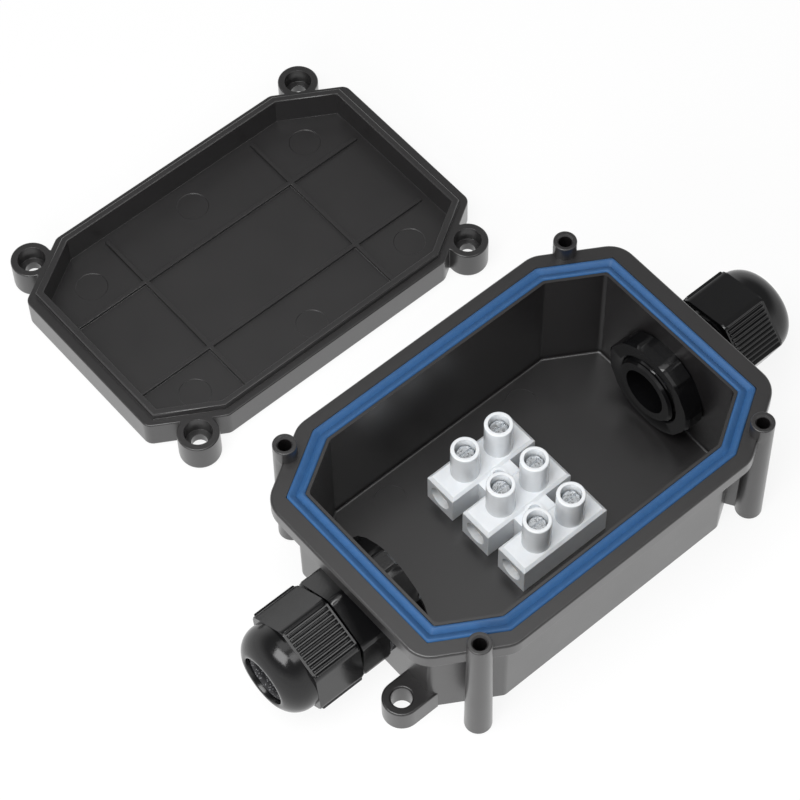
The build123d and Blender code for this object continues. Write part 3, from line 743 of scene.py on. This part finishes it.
def dome_nut_rows(angles, start, end, relief, turn):
    """Ribbed hexagon, round shoulder, dome as an arc of a circle, mouth, inner cone and threaded bore.
    The ribs rise and fall as quarter circles at both ends."""
    hexagon = hex_radius(angles, turn, HEX_ACROSS_FLATS)
    corner = HEX_ACROSS_FLATS / 2 / math.cos(math.radians(30))
    front = start + NUT_FRONT
    rib_start, rib_end = start + NUT_REAR_MARGIN, front - NUT_FRONT_MARGIN
    rows = [(start, NUT_BORE_RADIUS + THREAD_DEPTH), (start, np.minimum(hexagon, corner - NUT_CHAMFER))]
    rows.append((rib_start - 0.01 * MM, hexagon))
    for station in np.concatenate([
        rib_start + RIB_RISE, np.linspace(rib_start, rib_end, RIB_ROWS)[1:-1], rib_end - RIB_RISE[::-1],
    ]):
        inside = np.clip(min(station - rib_start, rib_end - station) / RIB_ROUNDING, 0, 1)
        rows.append((station, hexagon + relief * math.sqrt(inside * (2 - inside))))
    rows += [
        (front - NUT_CHAMFER, hexagon),
        (front - NUT_CHAMFER / 3, np.minimum(hexagon, corner - NUT_CHAMFER / 2)),
        (front, np.minimum(hexagon, corner - NUT_CHAMFER)), (front, NUT_SHOULDER_RADIUS),
    ]
    dome_start = start + NUT_DOME_START
    mouth_outer = NUT_MOUTH_RADIUS + NUT_MOUTH_WALL
    run, drop = end - dome_start, NUT_SHOULDER_RADIUS - mouth_outer
    arc_radius = (run ** 2 + drop ** 2) / (2 * drop)
    for station in np.linspace(0, run - DOME_END_GAP, DOME_ROWS):
        radius = NUT_SHOULDER_RADIUS - arc_radius + math.sqrt(arc_radius ** 2 - station ** 2)
        rows.append((dome_start + station, radius))
    lip = NUT_MOUTH_WALL / 4
    rows += [
        (end, mouth_outer - 0.05 * MM), (end, NUT_MOUTH_RADIUS + lip),
        (end - lip / 3, NUT_MOUTH_RADIUS + lip / 3),
        (end - lip, NUT_MOUTH_RADIUS), (start + NUT_CONE_END, NUT_MOUTH_RADIUS),
        (start + NUT_THREAD_LENGTH, NUT_BORE_RADIUS),
    ]
    for station in np.arange(start + NUT_THREAD_LENGTH - 0.3 * MM, start + 0.2 * MM, -0.3 * MM):
        rows.append((station, NUT_BORE_RADIUS + thread_cut(station, angles)))
    return rows


class JUNCTION_OT_dome_nuts(bpy.types.Operator):
    """Adds the two dome nuts with their grip ribs"""

    bl_idname = "junction.dome_nuts"
    bl_label = "Dome nuts"

    def execute(self, context):
        colours, sizes, _ = settings()
        plastic = bpy.data.materials.get("polished_black_polyamide") or glossy_polyamide(colours.gland)
        for name, (_, _, _, turn, rib_turn) in GLANDS.items():
            place = gland_place(name)
            start, end = stations(place, f"dome_nut_{name}")
            angles = ribbed_angles(turn, rib_turn, sizes.rib_count)
            relief = rib_relief(angles, turn, rib_turn, sizes)
            rows = dome_nut_rows(angles, start, end, relief, turn)
            mesh = ring_of_rows(f"ribbed_nut_{name}", place, angles, rows, DOME_SHARP_ANGLE)
            add_object(mesh.name, mesh, plastic, f"{name}_dome_nut", "gland_plastic", f"dome_nut_{name}")
        return {"FINISHED"}


# Terminal strip


class JUNCTION_OT_terminal_strip(bpy.types.Operator):
    """Adds the milky strip housing and its plated tubes"""

    bl_idname = "junction.terminal_strip"
    bl_label = "Terminal strip"

    def execute(self, context):
        colours, sizes, _ = settings()
        milky = milky_polyethylene(
            "milky_polyethylene", colours.strip, spread=0.4, depth=0.6 * MM, clear=0
        )
        thin = milky_polyethylene(
            "thin_walled_polyethylene", colours.strip, spread=0.2, depth=1.0 * MM, clear=0.06
        )
        nickel = nickel_plated_brass(colours.tube)
        node = "terminal_housing"
        strip = moulded_copy(node, "strip_housing", milky, "box", "terminal_plastic", sizes.edge_break)
        strip.data.materials.append(thin)
        heights = np.array([face.center.z for face in strip.data.polygons])
        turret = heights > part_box(node)[1].z - TURRET_HEIGHT + TURRET_MARGIN
        strip.data.polygons.foreach_set("material_index", turret.astype(np.int32))
        for node in sorted(name for name in frame["nodes"] if name.startswith("terminal_tube_")):
            piece = node.replace("terminal_tube", "plated_tube")
            moulded_copy(node, piece, nickel, "box", "plated_metal", sizes.screw_edge_break)
        return {"FINISHED"}


class JUNCTION_OT_terminal_screws(bpy.types.Operator):
    """Adds the six slotted terminal screws"""

    bl_idname = "junction.terminal_screws"
    bl_label = "Terminal screws"

    def execute(self, context):
        colours, sizes, _ = settings()
        zinc = zinc_plated_steel(colours.screw)
        for node in sorted(name for name in frame["nodes"] if name.startswith("terminal_screw_")):
            piece = node.replace("terminal_screw", "slotted_screw")
            moulded_copy(node, piece, zinc, body_of(node), "screw_steel", sizes.screw_edge_break)
        return {"FINISHED"}


# Stage


def seen_directly(tree):
    """1 where a camera, mirror-like or see-through ray looks straight at a surface, otherwise 0."""
    path = tree.nodes.new("ShaderNodeLightPath")
    seen = path.outputs["Is Camera Ray"]
    for ray in ("Is Glossy Ray", "Is Transmission Ray"):
        larger = add_node(tree, "ShaderNodeMath", operation="MAXIMUM")
        tree.links.new(seen, larger.inputs[0])
        tree.links.new(path.outputs[ray], larger.inputs[1])
        seen = larger.outputs[0]
    return seen


def white_world(ambient, ceiling):
    """Even light of the given strength. Where it is seen directly it is white at eye level and fades
    to the dim ceiling of a studio overhead."""
    world = bpy.data.worlds.new("white_surround")
    world.use_nodes = True
    tree = world.node_tree
    direction = tree.nodes.new("ShaderNodeTexCoord").outputs["Generated"]
    height = add_node(tree, "ShaderNodeSeparateXYZ", [(direction, "Vector")]).outputs["Z"]
    fade = add_node(
        tree, "ShaderNodeMapRange", [(height, "Value")],
        interpolation_type="SMOOTHSTEP", From_Min=0.15, From_Max=0.7, To_Min=1.0, To_Max=ceiling,
    ).outputs["Result"]
    strength = add_node(
        tree, "ShaderNodeMapRange", [(seen_directly(tree), "Value"), (fade, "To Max")], To_Min=ambient
    )
    background = tree.nodes["Background"]
    background.inputs["Color"].default_value = (1, 1, 1, 1)
    tree.links.new(strength.outputs["Result"], background.inputs["Strength"])
    world.cycles.sampling_method = "NONE"
    bpy.context.scene.world = world


def floor_material(shadow_share):
    """White paper floor: part of what is seen is its own shaded surface, and the rest is plain white."""
    material = bpy.data.materials.new("white_floor")
    material.use_nodes = True
    tree = material.node_tree
    tree.nodes.clear()
    paper = add_node(tree, "ShaderNodeBsdfDiffuse", Color=(PAPER_WHITE, PAPER_WHITE, PAPER_WHITE, 1))
    glow = add_node(tree, "ShaderNodeEmission", Color=(1, 1, 1, 1), Strength=1.0)
    share = add_node(tree, "ShaderNodeMath", operation="MULTIPLY")
    tree.links.new(seen_directly(tree), share.inputs[0])
    share.inputs[1].default_value = 1 - shadow_share  # share of plain white
    mix = tree.nodes.new("ShaderNodeMixShader")
    tree.links.new(share.outputs[0], mix.inputs[0])
    tree.links.new(paper.outputs[0], mix.inputs[1])
    tree.links.new(glow.outputs[0], mix.inputs[2])
    output = tree.nodes.new("ShaderNodeOutputMaterial")
    tree.links.new(mix.outputs[0], output.inputs["Surface"])
    material.cycles.emission_sampling = "NONE"
    return material


def add_lamp(name, place, size, power, in_gloss):
    """Adds a square soft lamp that faces the common aim; in_gloss says whether gloss shows it."""
    lamp = bpy.data.lights.new(name, "AREA")
    lamp.size = size
    lamp.energy = power
    holder = bpy.data.objects.new(name, lamp)
    holder.location = place
    holder.rotation_euler = (Vector(place) - Vector(LAMP_AIM)).to_track_quat("Z", "Y").to_euler()
    holder.visible_glossy = in_gloss
    bpy.context.scene.collection.objects.link(holder)


class JUNCTION_OT_stage(bpy.types.Operator):
    """Adds the floor, the lamps, the white surround and the camera"""

    bl_idname = "junction.stage"
    bl_label = "Stage"

    def execute(self, context):
        stage = settings()[2]
        mesh = bpy.data.meshes.new("floor")
        signs = ((-1, -1), (1, -1), (1, 1), (-1, 1))
        corners = [(x * FLOOR_HALF, y * FLOOR_HALF, FLOOR_HEIGHT) for x, y in signs]
        mesh.from_pydata(corners, [], [(0, 1, 2, 3)])
        mesh.materials.append(floor_material(stage.shadow_share))
        floor = bpy.data.objects.new("floor", mesh)
        context.scene.collection.objects.link(floor)
        white_world(stage.ambient, stage.ceiling)
        for name, place, size, power, in_gloss in LAMPS:
            add_lamp(name, place, size, getattr(stage, power), in_gloss)

        azimuth, elevation = math.radians(stage.azimuth), math.radians(stage.elevation)
        level = math.cos(elevation)
        back = Vector((math.sin(azimuth) * level, -math.cos(azimuth) * level, math.sin(elevation)))
        camera_data = bpy.data.cameras.new("camera")
        camera_data.lens = stage.lens
        camera_data.sensor_width = 36
        camera_data.shift_x = stage.shift_x
        camera_data.shift_y = stage.shift_y
        camera_data.clip_start = 0.01
        camera = bpy.data.objects.new("camera", camera_data)
        camera.location = Vector(stage.target) + back * stage.distance
        camera.rotation_euler = back.to_track_quat("Z", "Y").to_euler()
        context.scene.collection.objects.link(camera)
        context.scene.camera = camera
        context.scene.view_settings.view_transform = "Standard"
        return {"FINISHED"}


# Panel and registration


OPERATORS = (
    JUNCTION_OT_housing, JUNCTION_OT_gasket, JUNCTION_OT_glands, JUNCTION_OT_dome_nuts,
    JUNCTION_OT_terminal_strip, JUNCTION_OT_terminal_screws, JUNCTION_OT_stage,
)


class VIEW3D_PT_junction_box(bpy.types.Panel):
    """Lists the steps that dress the junction box"""

    bl_label = "Junction box"
    bl_space_type = "VIEW_3D"
    bl_region_type = "UI"
    bl_category = "Junction box"

    def draw(self, context):
        for operator in OPERATORS:
            self.layout.operator(operator.bl_idname)


GROUPS = {
    "junction_colours": JunctionBoxColours,
    "junction_sizes": JunctionBoxSizes,
    "junction_stage": JunctionBoxStage,
}


def register():
    for name, group in GROUPS.items():
        bpy.utils.register_class(group)
        setattr(bpy.types.Scene, name, PointerProperty(type=group))
    for kind in (*OPERATORS, VIEW3D_PT_junction_box):
        bpy.utils.register_class(kind)


def unregister():
    for kind in (VIEW3D_PT_junction_box, *reversed(OPERATORS)):
        bpy.utils.unregister_class(kind)
    for name, group in reversed(GROUPS.items()):
        delattr(bpy.types.Scene, name)
        bpy.utils.unregister_class(group)


def main():
    register()
    for operator in OPERATORS:
        group, step = operator.bl_idname.split(".")
        getattr(getattr(bpy.ops, group), step)()


if __name__ == "__main__":
    main()
